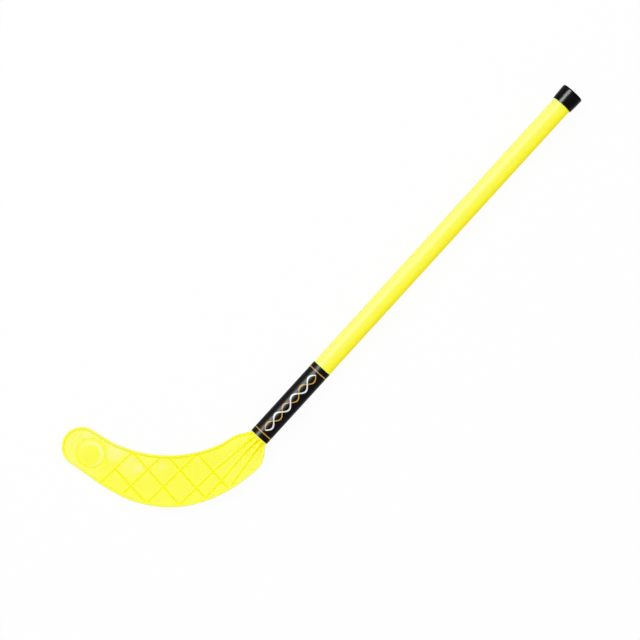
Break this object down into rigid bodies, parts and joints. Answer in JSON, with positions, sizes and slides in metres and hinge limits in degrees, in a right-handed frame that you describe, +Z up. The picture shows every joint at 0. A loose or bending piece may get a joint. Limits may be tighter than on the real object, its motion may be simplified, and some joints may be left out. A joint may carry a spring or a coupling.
{
  "type": "floorball stick",
  "caption": "Yellow plastic floorball stick with a ribbed, curved blade, a fluted neck, a round tube shaft, a black film sleeve and a black end cap.",
  "frame": {"origin": "centre of the bounding box on the floor that the stick lies on", "axes": "+X along the shaft from blade to end cap, +Y towards the toe of the blade, +Z up, out of the blade's front face"},
  "size_m": [0.8396, 0.226, 0.0328],
  "materials": {
    "blade": "satin moulded plastic",
    "shaft_tube": "glossy extruded plastic",
    "label_sleeve": "glossy film",
    "end_cap": "satin moulded plastic",
    "screws": "zinc plated"
  },
  "bodies": {
    "root": {"blade": "blade", "shaft_tube": "shaft_tube", "label_sleeve": "label_sleeve", "end_cap": "end_cap", "blade_screw_1": "screws", "blade_screw_2": "screws"}
  },
  "joints": []
}
